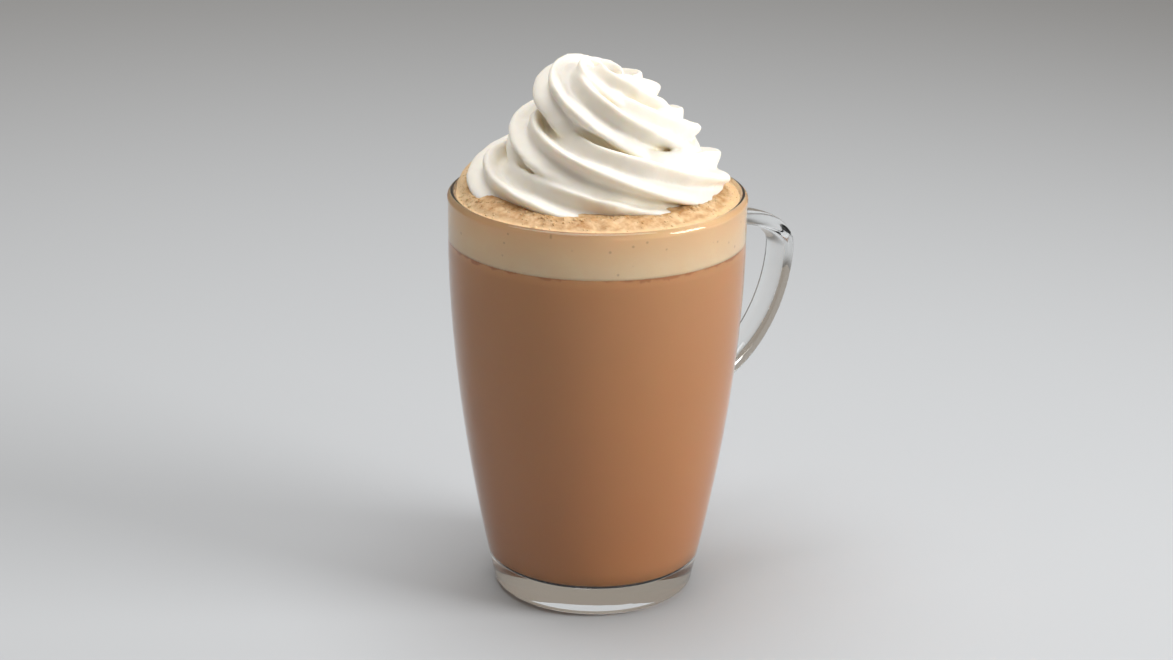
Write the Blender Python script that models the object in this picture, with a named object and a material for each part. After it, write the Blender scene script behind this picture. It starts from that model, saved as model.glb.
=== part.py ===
"""A caffe mocha in a clear glass mug, topped with milk foam and a piped swirl of whipped cream.

Metres, +Z up. The origin is the centre of the mug's foot, and +X points along the handle.
"""

import math

import bmesh
import bpy
from mathutils import Vector

# Mug body
MUG_HEIGHT = 0.1286
BODY_RADIUS = 0.0458  # outer radius where the body runs straight up
FOOT_RADIUS = 0.0313  # outer radius that the taper would reach at the table
TAPER_HEIGHT = 0.112  # the body tapers below this height
TAPER_POWER = 1.765
WALL = 0.0026
LIP_BEAD = 0.0002  # how far the rounded lip stands out from the body
FOOT_ROUND = 0.0026  # radius of the foot's outer edge
FLOOR_HEIGHT = 0.0085  # thickness of the clear base
FLOOR_ROUND = 0.009  # radius between the inner wall and the inner floor
MUG_SEGMENTS = 56
WALL_ROWS = 8

# Handle: the centre line of a flat glass strap, in the plane through the mug's axis
HANDLE_TOP = 0.1115
HANDLE_FOOT = 0.0560
HANDLE_REACH = 0.0786
HANDLE_WIDEST = 0.0970  # height at which the handle reaches out furthest
HANDLE_TOP_ROOT = 0.0445
HANDLE_FOOT_ROOT = 0.0402
HANDLE_LOWER_POWER = 1.9  # 2 is an ellipse; less makes the lower half run straighter
HANDLE_WIDTH = 0.0104
HANDLE_THICKNESS = 0.0054
HANDLE_FLARE = 0.40  # extra width and thickness where the strap meets the wall
HANDLE_FLARE_SHARE = 0.16
HANDLE_EDGE_POWER = 3.2
HANDLE_STATIONS = 32
HANDLE_SIDES = 14

# Levels of what the mug holds
GAP = 0.0003  # between pieces that touch
FOAM_LINE = 0.1143
FROTH_EDGE = 0.1274  # froth level against the glass
WELL_FLOOR = 0.1262  # the cream has sunk into the froth down to here
WELL_TOP = 0.1370
CREAM_GAP = 0.0006

# Froth surface
FROTH_DOME = 0.0026
FROTH_DOME_SPAN = 0.009
HEAP_HEIGHT = 0.0056
HEAP_START = 150  # degrees from the handle; the heap rises from here to HEAP_FULL
HEAP_FULL = 104
HEAP_STILL_FULL = 96
HEAP_END = 55
HEAP_SPAN = 0.0014
SPILL_START = 0.0004  # the heap's height at which it begins to spill over the lip
SPILL_RANGE = 0.0032
EDGE_ON_LIP = 152  # degrees round the lip's section, where 180 is its inner side and 90 its top
SPILL_ON_LIP = 75
BANK_HEIGHT = 0.0016
BANK_ANGLE = math.radians(152)
BANK_SPREAD = math.radians(26)
BANK_SPAN = 0.0032
LIP_RINGS = 3
FROTH_RINGS = 5
BUMP_HEIGHT = 0.00035
FOAM_SEGMENTS = 56

# Swirl: the rope's path, counted in turns clockwise from SWIRL_ANGLE
SWIRL_ANGLE = math.radians(-40)
SWIRL_CENTRE = 0.004  # the swirl stands this far off the mug's axis, a quarter turn on from SWIRL_ANGLE
SWIRL_RINGS = (
    # turn, shift of the ring towards SWIRL_ANGLE, ring radius, height, rope radius,
    # fall towards SWIRL_ANGLE, lead of the ridges in radians
    (-0.15, 0.0000, 0.0290, 0.1260, 0.0095, 0.0000, 0.00),
    (0.05, 0.0000, 0.0290, 0.1265, 0.0100, 0.0000, 0.00),
    (0.25, 0.0000, 0.0280, 0.1275, 0.0104, 0.0010, 0.12),
    (0.50, 0.0010, 0.0312, 0.1290, 0.0105, 0.0010, 0.25),
    (0.75, 0.0030, 0.0272, 0.1325, 0.0106, 0.0030, 0.00),
    (1.00, 0.0045, 0.0255, 0.1365, 0.0106, 0.0040, 0.00),
    (1.50, 0.0040, 0.0222, 0.1392, 0.0106, 0.0040, 0.00),
    (2.00, 0.0040, 0.0175, 0.1485, 0.0105, 0.0050, 0.00),
    (2.50, 0.0025, 0.0118, 0.1528, 0.0110, 0.0050, 0.00),
    (3.00, 0.0020, 0.0095, 0.1570, 0.0100, 0.0035, 0.00),
    (3.50, -0.0020, 0.0030, 0.1597, 0.0090, 0.0020, 0.00),
    (3.75, -0.0030, 0.0010, 0.1608, 0.0070, 0.0010, 0.00),
)
STAR_RIDGES = 7
STAR_DEPTH = 0.38  # groove depth as a share of the rope's radius
STAR_NARROWING = 0.1  # over 0 makes narrow ridges and wide grooves
RIDGE_TWIST = 0.8  # turns that the ridges make round the rope for each turn of the swirl
RIDGE_START = 0.3
ROPE_END_ROUND = 0.009
TIP_END_ROUND = 0.0063
ROPE_STEP = math.radians(3)
ROPE_SIDES = 84
CORE_OUTLINE = (
    # radius and height of the plug that fills the swirl's middle
    (0.0310, 0.1240),
    (0.0315, 0.1340),
    (0.0225, 0.1440),
    (0.0135, 0.1540),
    (0.0065, 0.1600),
)
CORE_SIDES = 48
VOXEL = 0.00068
SMOOTH_STEPS = 4
CREAM_TRIANGLES = 6300


def make_material(name, colour, roughness, transmission=0.0):
    """A plain Principled material."""
    material = bpy.data.materials.new(name)
    material.use_nodes = True
    shader = material.node_tree.nodes["Principled BSDF"]
    shader.inputs["Base Color"].default_value = (*colour, 1.0)
    shader.inputs["Roughness"].default_value = roughness
    shader.inputs["Metallic"].default_value = 0.0
    shader.inputs["Transmission Weight"].default_value = transmission
    return material


def make_object(name, form, material):
    """Turns a bmesh into a smooth-shaded object, with sharp edges kept."""
    mesh = bpy.data.meshes.new(name)
    form.to_mesh(mesh)
    form.free()
    mesh.shade_smooth()
    mesh.set_sharp_from_angle(angle=math.radians(40))
    mesh.materials.append(material)
    thing = bpy.data.objects.new(name, mesh)
    bpy.context.collection.objects.link(thing)
    return thing


def turned(outline, segments):
    """Spins an outline of (radius, height) points, which starts and ends on the axis."""
    form = bmesh.new()
    points = [form.verts.new((radius, 0.0, height)) for radius, height in outline]
    edges = [form.edges.new(pair) for pair in zip(points[:-1], points[1:])]
    bmesh.ops.spin(
        form,
        geom=points + edges,
        cent=(0.0, 0.0, 0.0),
        axis=(0.0, 0.0, 1.0),
        angle=math.tau,
        steps=segments,
        use_merge=True,
    )
    bmesh.ops.remove_doubles(form, verts=form.verts, dist=1e-6)
    bmesh.ops.recalc_face_normals(form, faces=form.faces)
    return form


def skin(form, rings):
    """Quads between neighbouring closed rings of vertices."""
    for lower, upper in zip(rings[:-1], rings[1:]):
        count = len(lower)
        for k in range(count):
            after = (k + 1) % count
            form.faces.new((lower[k], lower[after], upper[after], upper[k]))


def arc(centre_radius, centre_height, radius, start, end, steps):
    """Points of an arc in the (radius, height) plane, angles in degrees."""
    points = []
    for k in range(steps + 1):
        angle = math.radians(start + (end - start) * k / steps)
        points.append((centre_radius + radius * math.cos(angle), centre_height + radius * math.sin(angle)))
    return points


def outer_radius(height):
    """Outer radius of the mug's body at a height."""
    below = max(0.0, 1.0 - height / TAPER_HEIGHT)
    return BODY_RADIUS - (BODY_RADIUS - FOOT_RADIUS) * below**TAPER_POWER


def inner_radius(height):
    """Inner radius of the mug's body, without the rounding at its floor."""
    return outer_radius(height) - WALL


def inner_outline(shrink, top):
    """The mug's inside from the axis up to a height, shrunk by a gap."""
    floor = FLOOR_HEIGHT + shrink
    round_radius = FLOOR_ROUND - shrink
    corner_height = floor + round_radius
    wall = inner_radius(corner_height) - shrink
    points = [(0.0, floor)]
    points += arc(wall - round_radius, corner_height, round_radius, -90, -8, 6)
    for k in range(1, WALL_ROWS + 1):
        height = corner_height + (top - corner_height) * k / WALL_ROWS
        points.append((inner_radius(height) - shrink, height))
    return points


def mug_body():
    """The blown body with its rounded foot, thick clear base and rounded lip."""
    foot_wall = outer_radius(FOOT_ROUND)
    outline = [(0.0, 0.0)]
    outline += arc(foot_wall - FOOT_ROUND, FOOT_ROUND, FOOT_ROUND, -90, 0, 5)
    lip_radius = WALL / 2 + LIP_BEAD
    lip_height = MUG_HEIGHT - lip_radius
    last = lip_height - 2 * lip_radius
    for k in range(1, WALL_ROWS + 1):
        height = FOOT_ROUND + (last - FOOT_ROUND) * k / WALL_ROWS
        outline.append((outer_radius(height), height))
    outline += arc(BODY_RADIUS - WALL / 2, lip_height, lip_radius, -20, 200, 8)
    inside = inner_outline(0.0, last)
    return turned(outline + inside[::-1], MUG_SEGMENTS)


def handle_point(share):
    """Centre of the strap at a share of its length, as (reach, height)."""
    if share < 0.4:
        angle = math.pi / 2 * share / 0.4
        reach = HANDLE_TOP_ROOT + (HANDLE_REACH - HANDLE_TOP_ROOT) * math.sin(angle)
        height = HANDLE_WIDEST + (HANDLE_TOP - HANDLE_WIDEST) * math.cos(angle)
        return reach, height
    angle = math.pi / 2 * (share - 0.4) / 0.6
    power = 2 / HANDLE_LOWER_POWER
    reach = HANDLE_FOOT_ROOT + (HANDLE_REACH - HANDLE_FOOT_ROOT) * max(0.0, math.cos(angle)) ** power
    height = HANDLE_WIDEST - (HANDLE_WIDEST - HANDLE_FOOT) * math.sin(angle) ** power
    return reach, height


def handle_form():
    """The strap: a rounded rectangle swept along the centre line, flared at both roots."""
    form = bmesh.new()
    rings = []
    nudge = 1e-3
    for k in range(HANDLE_STATIONS + 1):
        share = k / HANDLE_STATIONS
        before = handle_point(max(0.0, share - nudge))
        after = handle_point(min(1.0, share + nudge))
        along = Vector((after[0] - before[0], 0.0, after[1] - before[1])).normalized()
        outward = Vector((-along.z, 0.0, along.x))
        end_share = min(share, 1.0 - share) / HANDLE_FLARE_SHARE
        flare = 1.0 + HANDLE_FLARE * max(0.0, 1.0 - end_share) ** 2
        reach, height = handle_point(share)
        centre = Vector((reach, 0.0, height))
        ring = []
        for side in range(HANDLE_SIDES):
            angle = math.tau * (side + 0.5) / HANDLE_SIDES
            across = math.copysign(abs(math.cos(angle)) ** (2 / HANDLE_EDGE_POWER), math.cos(angle))
            through = math.copysign(abs(math.sin(angle)) ** (2 / HANDLE_EDGE_POWER), math.sin(angle))
            offset = Vector((0.0, across * flare * HANDLE_WIDTH / 2, 0.0))
            offset += outward * (through * flare * HANDLE_THICKNESS / 2)
            ring.append(form.verts.new(centre + offset))
        rings.append(ring)
    skin(form, rings)
    form.faces.new(rings[0])
    form.faces.new(rings[-1])
    bmesh.ops.recalc_face_normals(form, faces=form.faces)
    return form


def build_mug(glass):
    """The mug: body and handle fused into one piece of glass."""
    mug = make_object("mug", mug_body(), glass)
    handle = make_object("handle_strap", handle_form(), glass)
    fuse = mug.modifiers.new("fuse_handle", "BOOLEAN")
    fuse.operation = "UNION"
    fuse.object = handle
    bpy.context.view_layer.update()
    graph = bpy.context.evaluated_depsgraph_get()
    fused = bpy.data.meshes.new_from_object(mug.evaluated_get(graph))
    mug.modifiers.clear()
    fused.set_sharp_from_angle(angle=math.radians(40))
    mug.data = fused
    bpy.data.objects.remove(handle)
    return mug


def build_mocha(material):
    """The drink, from the mug's floor up to the foam."""
    outline = inner_outline(GAP, FOAM_LINE - GAP / 2)
    outline.append((0.0, FOAM_LINE - GAP / 2))
    return make_object("mocha", turned(outline, FOAM_SEGMENTS), material)


def between(stations, column, position):
    """Smooth value of a column of a table at a position given by the table's first column."""
    last = len(stations) - 1
    index = 0
    while index < last - 1 and position > stations[index + 1][0]:
        index += 1

    def slope(k):
        low = max(0, k - 1)
        high = min(last, k + 1)
        return (stations[high][column] - stations[low][column]) / (stations[high][0] - stations[low][0])

    width = stations[index + 1][0] - stations[index][0]
    t = (position - stations[index][0]) / width
    first = (2 * t**3 - 3 * t**2 + 1) * stations[index][column]
    second = (t**3 - 2 * t**2 + t) * width * slope(index)
    third = (3 * t**2 - 2 * t**3) * stations[index + 1][column]
    fourth = (t**3 - t**2) * width * slope(index + 1)
    return first + second + third + fourth


def rope_centre(turn):
    """Centre of the piped rope at a turn."""
    shift = between(SWIRL_RINGS, 1, turn)
    ring_radius = between(SWIRL_RINGS, 2, turn)
    height = between(SWIRL_RINGS, 3, turn)
    fall = between(SWIRL_RINGS, 5, turn)
    angle = -math.tau * turn
    across = shift + ring_radius * math.cos(angle)
    aside = SWIRL_CENTRE + ring_radius * math.sin(angle)
    x = across * math.cos(SWIRL_ANGLE) - aside * math.sin(SWIRL_ANGLE)
    y = across * math.sin(SWIRL_ANGLE) + aside * math.cos(SWIRL_ANGLE)
    return Vector((x, y, height - fall * math.cos(angle)))


def star_radius(angle):
    """Radius of the star-shaped rope, as a share of its ridge radius."""
    place = STAR_RIDGES * angle
    place += STAR_NARROWING * math.sin(place)
    return 1.0 - STAR_DEPTH * (0.5 - 0.5 * math.cos(place))


def rope_rings():
    """Cross-sections of the piped rope along its path, each a list of points."""
    first = SWIRL_RINGS[0][0]
    last = SWIRL_RINGS[-1][0]
    count = round((last - first) * math.tau / ROPE_STEP)
    turns = [first + (last - first) * k / count for k in range(count + 1)]
    centres = [rope_centre(turn) for turn in turns]
    travelled = [0.0]
    for before, after in zip(centres[:-1], centres[1:]):
        travelled.append(travelled[-1] + (after - before).length)
    rings = []
    for k, turn in enumerate(turns):
        along = (centres[min(k + 1, count)] - centres[max(k - 1, 0)]).normalized()
        angle = SWIRL_ANGLE - math.tau * turn
        outward = Vector((math.cos(angle), math.sin(angle), 0.0))
        outward = (outward - along * outward.dot(along)).normalized()
        upward = outward.cross(along)
        if upward.z < 0:
            upward.negate()
        left_at_start = max(0.0, 1.0 - travelled[k] / ROPE_END_ROUND)
        left_at_tip = max(0.0, 1.0 - (travelled[-1] - travelled[k]) / TIP_END_ROUND)
        blunt = math.sqrt(max(0.0004, 1.0 - left_at_start**2)) * math.sqrt(max(0.0004, 1.0 - left_at_tip**2))
        size = between(SWIRL_RINGS, 4, turn) * blunt
        turned_by = RIDGE_START + math.tau * RIDGE_TWIST * turn + between(SWIRL_RINGS, 6, turn)
        ring = []
        for side in range(ROPE_SIDES):
            around = math.tau * side / ROPE_SIDES
            radius = size * star_radius(around - turned_by)
            ring.append(centres[k] + radius * (math.cos(around) * outward + math.sin(around) * upward))
        rings.append(ring)
    return rings


def cream_reach(rings):
    """How far the cream reaches from the mug's axis near the froth, for each direction of the foam's mesh."""
    sector = math.tau / FOAM_SEGMENTS
    reach = [0.0] * FOAM_SEGMENTS
    for ring in rings:
        for point in ring:
            if not WELL_FLOOR < point.z < WELL_TOP:
                continue
            place = math.atan2(point.y, point.x) / sector
            distance = math.hypot(point.x, point.y)
            for k in (-1, 0, 1, 2):
                sector_index = (math.floor(place) + k) % FOAM_SEGMENTS
                reach[sector_index] = max(reach[sector_index], distance)
    return reach


def swirl_axis(height):
    """Middle of the swirl at a height, for the plug inside it."""
    turn = 1.0
    while turn < SWIRL_RINGS[-1][0] - 0.5 and rope_centre(turn + 0.25).z < height:
        turn += 0.05
    total = Vector((0.0, 0.0, 0.0))
    for k in range(4):
        total += rope_centre(turn - 0.5 + k / 4)
    return Vector((total.x / 4, total.y / 4, height))


def build_cream(material, rings):
    """The swirl: the star-shaped rope and the plug in its middle, melted together."""
    form = bmesh.new()
    rope = [[form.verts.new(point) for point in ring] for ring in rings]
    skin(form, rope)
    form.faces.new(rope[0])
    form.faces.new(rope[-1])
    plug = []
    for radius, height in CORE_OUTLINE:
        middle = swirl_axis(height)
        circle = []
        for k in range(CORE_SIDES):
            angle = math.tau * k / CORE_SIDES
            circle.append(form.verts.new(middle + radius * Vector((math.cos(angle), math.sin(angle), 0.0))))
        plug.append(circle)
    skin(form, plug)
    form.faces.new(plug[0])
    form.faces.new(plug[-1])
    bmesh.ops.recalc_face_normals(form, faces=form.faces)
    cream = make_object("whipped_cream", form, material)
    melt = cream.modifiers.new("melt", "REMESH")
    melt.mode = "VOXEL"
    melt.voxel_size = VOXEL
    soften = cream.modifiers.new("soften", "SMOOTH")
    soften.iterations = SMOOTH_STEPS
    bpy.context.view_layer.update()
    graph = bpy.context.evaluated_depsgraph_get()
    dense = len(cream.evaluated_get(graph).data.polygons) * 2
    thin = cream.modifiers.new("thin", "DECIMATE")
    thin.ratio = CREAM_TRIANGLES / dense
    bpy.context.view_layer.update()
    graph = bpy.context.evaluated_depsgraph_get()
    melted = bpy.data.meshes.new_from_object(cream.evaluated_get(graph))
    cream.modifiers.clear()
    level = bmesh.new()
    level.from_mesh(melted)
    bmesh.ops.bisect_plane(
        level,
        geom=level.verts[:] + level.edges[:] + level.faces[:],
        plane_co=(0.0, 0.0, WELL_FLOOR + GAP),
        plane_no=(0.0, 0.0, 1.0),
        clear_inner=True,
    )
    bmesh.ops.holes_fill(level, edges=[edge for edge in level.edges if edge.is_boundary])
    bmesh.ops.triangulate(level, faces=level.faces)
    bmesh.ops.recalc_face_normals(level, faces=level.faces)
    level.to_mesh(melted)
    level.free()
    melted.shade_smooth()
    cream.data = melted
    return cream


def eased(share):
    """Smooth step from 0 to 1."""
    share = min(1.0, max(0.0, share))
    return share * share * (3 - 2 * share)


def on_lip(degrees, clearance=0.0):
    """A place round the section of the rounded lip, as (radius, height)."""
    angle = math.radians(degrees)
    lip_radius = WALL / 2 + LIP_BEAD
    reach = lip_radius + clearance
    return BODY_RADIUS - WALL / 2 + reach * math.cos(angle), MUG_HEIGHT - lip_radius + reach * math.sin(angle)


def heap_height(angle):
    """How high the froth is heaped at the far left, in a direction from the mug's axis."""
    degrees = math.degrees(angle) % 360
    rise = eased((HEAP_START - degrees) / (HEAP_START - HEAP_FULL))
    fall = eased((degrees - HEAP_END) / (HEAP_STILL_FULL - HEAP_END))
    return HEAP_HEIGHT * rise * fall


def froth_edge(angle):
    """Where the froth ends on the lip, in degrees round the lip's section."""
    spill = eased((heap_height(angle) - SPILL_START) / SPILL_RANGE)
    return EDGE_ON_LIP + (SPILL_ON_LIP - EDGE_ON_LIP) * spill


def froth_level(radius, angle):
    """Height of the froth's surface."""
    edge_radius, edge_height = on_lip(froth_edge(angle), GAP)
    inward = edge_radius - radius
    off_bank = math.remainder(angle - BANK_ANGLE, math.tau) / BANK_SPREAD
    bank = BANK_HEIGHT * math.exp(-off_bank * off_bank) * eased(inward / BANK_SPAN)
    dome = FROTH_DOME * eased(inward / FROTH_DOME_SPAN)
    bumps = BUMP_HEIGHT * math.sin(9 * angle + radius * 700) * math.sin(17 * angle - radius * 900)
    full = FROTH_EDGE + dome + bank + heap_height(angle) + bumps
    return edge_height + (full - edge_height) * eased(inward / HEAP_SPAN)


def build_foam(material, reach):
    """The milk foam: a disc down to the mocha, frothed up round the cream that has sunk into it."""
    form = bmesh.new()
    bottom = FOAM_LINE + GAP / 2
    angles = [math.tau * k / FOAM_SEGMENTS for k in range(FOAM_SEGMENTS)]

    def ring(place_of):
        circle = []
        for k, angle in enumerate(angles):
            radius, height = place_of(k)
            circle.append(form.verts.new((radius * math.cos(angle), radius * math.sin(angle), height)))
        return circle

    rings = []
    for share in (0.0, 0.5):
        height = bottom + (FROTH_EDGE - bottom) * share
        rings.append(ring(lambda k: (inner_radius(height) - GAP, height)))
    ends = [froth_edge(angle) for angle in angles]
    for step in range(LIP_RINGS + 1):
        share = step / LIP_RINGS
        rings.append(ring(lambda k: on_lip(180 + (ends[k] - 180) * share, GAP)))
    inside = inner_radius(FROTH_EDGE) - GAP
    contour = [min(inside - 2 * GAP, distance + CREAM_GAP) for distance in reach]
    for step in range(1, FROTH_RINGS + 1):
        share = step / FROTH_RINGS

        def on_froth(k):
            edge = on_lip(ends[k], GAP)[0]
            radius = edge + (contour[k] - edge) * share
            return radius, froth_level(radius, angles[k])

        rings.append(ring(on_froth))
    rings.append(ring(lambda k: (contour[k] - GAP / 2, WELL_FLOOR)))
    skin(form, rings)
    for circle, height in ((rings[0], bottom), (rings[-1], WELL_FLOOR)):
        middle = form.verts.new((0.0, 0.0, height))
        for k in range(FOAM_SEGMENTS):
            form.faces.new((circle[k], circle[(k + 1) % FOAM_SEGMENTS], middle))
    bmesh.ops.recalc_face_normals(form, faces=form.faces)
    return make_object("milk_foam", form, material)


def main():
    for thing in list(bpy.data.objects):
        bpy.data.objects.remove(thing)
    glass = make_material("clear_glass", (0.95, 0.97, 0.96), 0.03, transmission=1.0)
    mocha = make_material("mocha", (0.34, 0.17, 0.09), 0.25)
    foam = make_material("milk_foam", (0.72, 0.50, 0.32), 0.6)
    cream = make_material("whipped_cream", (0.92, 0.89, 0.83), 0.5)
    rings = rope_rings()
    build_mug(glass)
    build_mocha(mocha)
    build_foam(foam, cream_reach(rings))
    build_cream(cream, rings)


main()
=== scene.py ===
"""Looks of a caffe mocha in a clear glass mug, with frothed milk foam and a piped swirl of whipped cream.

Metres, in the frame of the solids: +Z up, +X along the handle, the origin under the middle of the foot.
"""

import math
import random

import bmesh
import bpy
from mathutils import Matrix, Vector, noise
from mathutils.bvhtree import BVHTree


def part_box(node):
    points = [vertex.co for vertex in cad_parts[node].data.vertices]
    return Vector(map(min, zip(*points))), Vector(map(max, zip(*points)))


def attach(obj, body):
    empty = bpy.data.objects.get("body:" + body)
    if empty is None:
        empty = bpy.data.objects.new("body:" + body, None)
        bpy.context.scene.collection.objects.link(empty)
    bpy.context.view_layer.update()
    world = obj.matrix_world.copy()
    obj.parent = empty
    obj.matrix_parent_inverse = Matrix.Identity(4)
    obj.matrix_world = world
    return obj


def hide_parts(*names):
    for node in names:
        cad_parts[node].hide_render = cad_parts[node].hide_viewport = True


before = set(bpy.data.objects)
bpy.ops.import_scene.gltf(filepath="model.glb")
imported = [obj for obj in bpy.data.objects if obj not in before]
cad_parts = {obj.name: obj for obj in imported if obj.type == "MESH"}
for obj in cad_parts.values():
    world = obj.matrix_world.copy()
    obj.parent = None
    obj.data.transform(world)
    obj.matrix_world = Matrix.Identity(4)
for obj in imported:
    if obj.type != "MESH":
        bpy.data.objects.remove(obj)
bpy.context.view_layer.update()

# Mug body
MUG_HEIGHT = 0.1286
BODY_RADIUS = 0.0458
FOOT_RADIUS = 0.0313
TAPER_HEIGHT = 0.112
TAPER_POWER = 1.765
WALL = 0.0026
LIP_BEAD = 0.00018
FOOT_ROUND = 0.0026
FLOOR_HEIGHT = 0.0085
FLOOR_ROUND = 0.009
MUG_STEPS = 224
WALL_ROWS = 44
FOOT_STEPS = 12
LIP_STEPS = 22
LIP_FROM = -20  # degrees round the lip's section
LIP_TO = 200
CORNER_STEPS = 18  # round the corner between wall and floor
CORNER_START = -90  # degrees round that corner
CORNER_END = -8

# Handle strap
HANDLE_TOP = 0.1115
HANDLE_FOOT = 0.0560
HANDLE_REACH = 0.0786
HANDLE_WIDEST = 0.0970
HANDLE_TOP_ROOT = 0.0445
HANDLE_FOOT_ROOT = 0.0402
HANDLE_TOP_SHARE = 0.4  # share of the strap that runs out to its widest place
HANDLE_LOWER_POWER = 1.9
HANDLE_WIDTH = 0.0104
HANDLE_THICKNESS = 0.0054
HANDLE_FLARE = 0.40
HANDLE_FLARE_SHARE = 0.16
HANDLE_EDGE_POWER = 3.2
HANDLE_STATIONS = 120
HANDLE_SIDES = 42

# What the mug holds
INTO_WALL = 0.0002  # how far the drink and the foam reach into the glass, so that no air gap shows
ABOVE_FLOOR = 0.0001  # the drink stays off the glass floor, which mirrors at a low angle as a wetted one does
MIRROR_FROM = -56  # degrees round the corner between wall and floor
MIRROR_TO = -46
FOAM_LINE = 0.1143
MOCHA_ROWS = 30
BAND_ROWS = 16
FROTH_EDGE = 0.1274
FROTH_DOME = 0.0026
FROTH_DOME_SPAN = 0.009
HEAP_HEIGHT = 0.0056
HEAP_START = 150  # degrees from the handle; the heap rises from here to HEAP_FULL
HEAP_FULL = 104
HEAP_STILL_FULL = 96
HEAP_END = 55
HEAP_SPAN = 0.0014
SPILL_START = 0.0004  # the heap's height at which it begins to spill over the lip
SPILL_RANGE = 0.0032
EDGE_ON_LIP = 152  # degrees round the lip's section, where 180 is its inner side and 90 its top
SPILL_ON_LIP = 75
BANK_HEIGHT = 0.0016
BANK_ANGLE = math.radians(152)
BANK_SPREAD = math.radians(26)
BANK_SPAN = 0.0032
FOAM_STEPS = 400
LIP_ROWS = 12
FROTH_HIDDEN = 0.014  # radius inside which the cream hides the froth
FROTH_ROWS = 84
ROW_MARK = 1e-5  # height by which the rows of the froth are told apart before they are placed
LUMP_SIZE = 0.0034
LUMP_HEIGHT = 0.00038
LUMP_FADE = 0.002  # the lumps fade out this near to the lip

# Cream swirl
SWIRL_ANGLE = math.radians(-40)
SWIRL_CENTRE = 0.004
SWIRL_RINGS = (
    # turn, shift of the ring towards SWIRL_ANGLE, ring radius, height, rope radius,
    # fall towards SWIRL_ANGLE, lead of the ridges in radians
    (-0.15, 0.0000, 0.0290, 0.1260, 0.0095, 0.0000, 0.00),
    (0.05, 0.0000, 0.0290, 0.1265, 0.0100, 0.0000, 0.00),
    (0.25, 0.0000, 0.0280, 0.1275, 0.0104, 0.0010, 0.12),
    (0.50, 0.0010, 0.0312, 0.1290, 0.0105, 0.0010, 0.25),
    (0.75, 0.0030, 0.0272, 0.1325, 0.0106, 0.0030, 0.00),
    (1.00, 0.0045, 0.0255, 0.1365, 0.0106, 0.0040, 0.00),
    (1.50, 0.0040, 0.0222, 0.1392, 0.0106, 0.0040, 0.00),
    (2.00, 0.0040, 0.0175, 0.1485, 0.0105, 0.0050, 0.00),
    (2.50, 0.0025, 0.0118, 0.1528, 0.0110, 0.0050, 0.00),
    (3.00, 0.0020, 0.0095, 0.1570, 0.0100, 0.0035, 0.00),
    (3.50, -0.0020, 0.0030, 0.1597, 0.0090, 0.0020, 0.00),
    (3.75, -0.0030, 0.0010, 0.1608, 0.0070, 0.0010, 0.00),
)
STAR_RIDGES = 7
STAR_DEPTH = 0.38
STAR_NARROWING = 0.1
RIDGE_TWIST = 0.8
RIDGE_START = 0.3
ROPE_END_ROUND = 0.009
TIP_END_ROUND = 0.0063
ROPE_POINT = 0.0004  # square of the share of its size that the rope keeps at its very ends
ROPE_STEP = math.radians(2)
ROPE_SIDES = 126
CORE_OUTLINE = (
    # radius and height of the plug that fills the swirl's middle
    (0.0310, 0.1240),
    (0.0315, 0.1340),
    (0.0225, 0.1440),
    (0.0135, 0.1540),
    (0.0065, 0.1600),
)
CORE_SIDES = 64
CREAM_VOXEL = 0.00047
CREAM_SMOOTHING = 9
CREAM_FOOT = 0.1255  # the swirl is cut off here, inside the foam
UNEVEN_SIZE = 0.009
UNEVEN_HEIGHT = 0.00055
FOLD_RAYS = 14
FOLD_REACH = 0.012
FOLD_OPENING = 0.85  # how low the rays spread round a place's normal
FOLD_LIFT = 1e-4

# Froth bubbles
BUBBLE_SEED = 41
BUBBLE_COUNT = 700
BUBBLES_AT_CREAM = 0.55  # share of the bubbles that gather along the cream
BUBBLE_SPREAD = 0.0012
BUBBLE_SMALL = 0.00020
BUBBLE_LARGE = 0.00045
BUBBLE_BIGGEST = 1.3
BUBBLE_SUNK = (0.25, 0.7)  # how deep a bubble sits, as a share of its radius
BUBBLE_SECTORS = 180
NARROW_FROTH = 0.0008
FROTH_STRIP = 0.004  # where the cream meets the glass, bubbles keep to this strip
ABOVE_FROTH = 0.14
NEAR_FROTH = 0.0012  # cream within this height of the froth counts as its edge

# Where colours change, in metres
MILKY_FROM = 0.05  # the drink pales from this height up to the foam
# the drink's colour darkens towards the foot between these two heights
DARKENING_LOW = 0.004
DARKENING_HIGH = 0.07
SEAM_LOW = FOAM_LINE - 0.0009
SEAM_HIGH = FOAM_LINE - 0.0003
TOP_LOW = FROTH_EDGE - 0.0002  # the band gives way to the golden froth between these heights
TOP_HIGH = FROTH_EDGE + 0.0009
AT_GLASS_FROM = 0.0385
AT_GLASS_TO = 0.0425

# Colours, linear
GLASS_TINT = (0.975, 0.985, 0.98, 1.0)
MOCHA_DEEP = (0.620, 0.272, 0.088)
MOCHA_BRIGHT = (0.660, 0.302, 0.103)
MOCHA_UNDER_FOAM = (0.705, 0.375, 0.160)
MOCHA_NEAR_FOOT = (0.565, 0.215, 0.062)
MOCHA_SEAM = (0.52, 0.20, 0.062)
BAND_DEEP = (0.975, 0.735, 0.480)
BAND_PALE = (0.985, 0.805, 0.56)
BAND_TANNED = (0.935, 0.630, 0.340)
BAND_SPECK = (0.34, 0.17, 0.07)
FROTH_BROWN = (0.44, 0.23, 0.083)
FROTH_GOLD = (0.71, 0.495, 0.285)
FROTH_AT_GLASS = (0.69, 0.51, 0.315)
FROTH_SPECK = (0.40, 0.19, 0.065)
CREAM_DULL = (0.785, 0.762, 0.700)
CREAM_BRIGHT = (0.815, 0.795, 0.745)
# painted shade: the cream's colour deep in its folds and in its deepest pockets
CREAM_SHADE_IN_FOLDS = (0.81, 0.745, 0.58)
CREAM_SHADE_IN_POCKETS = (0.84, 0.66, 0.38)

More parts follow.
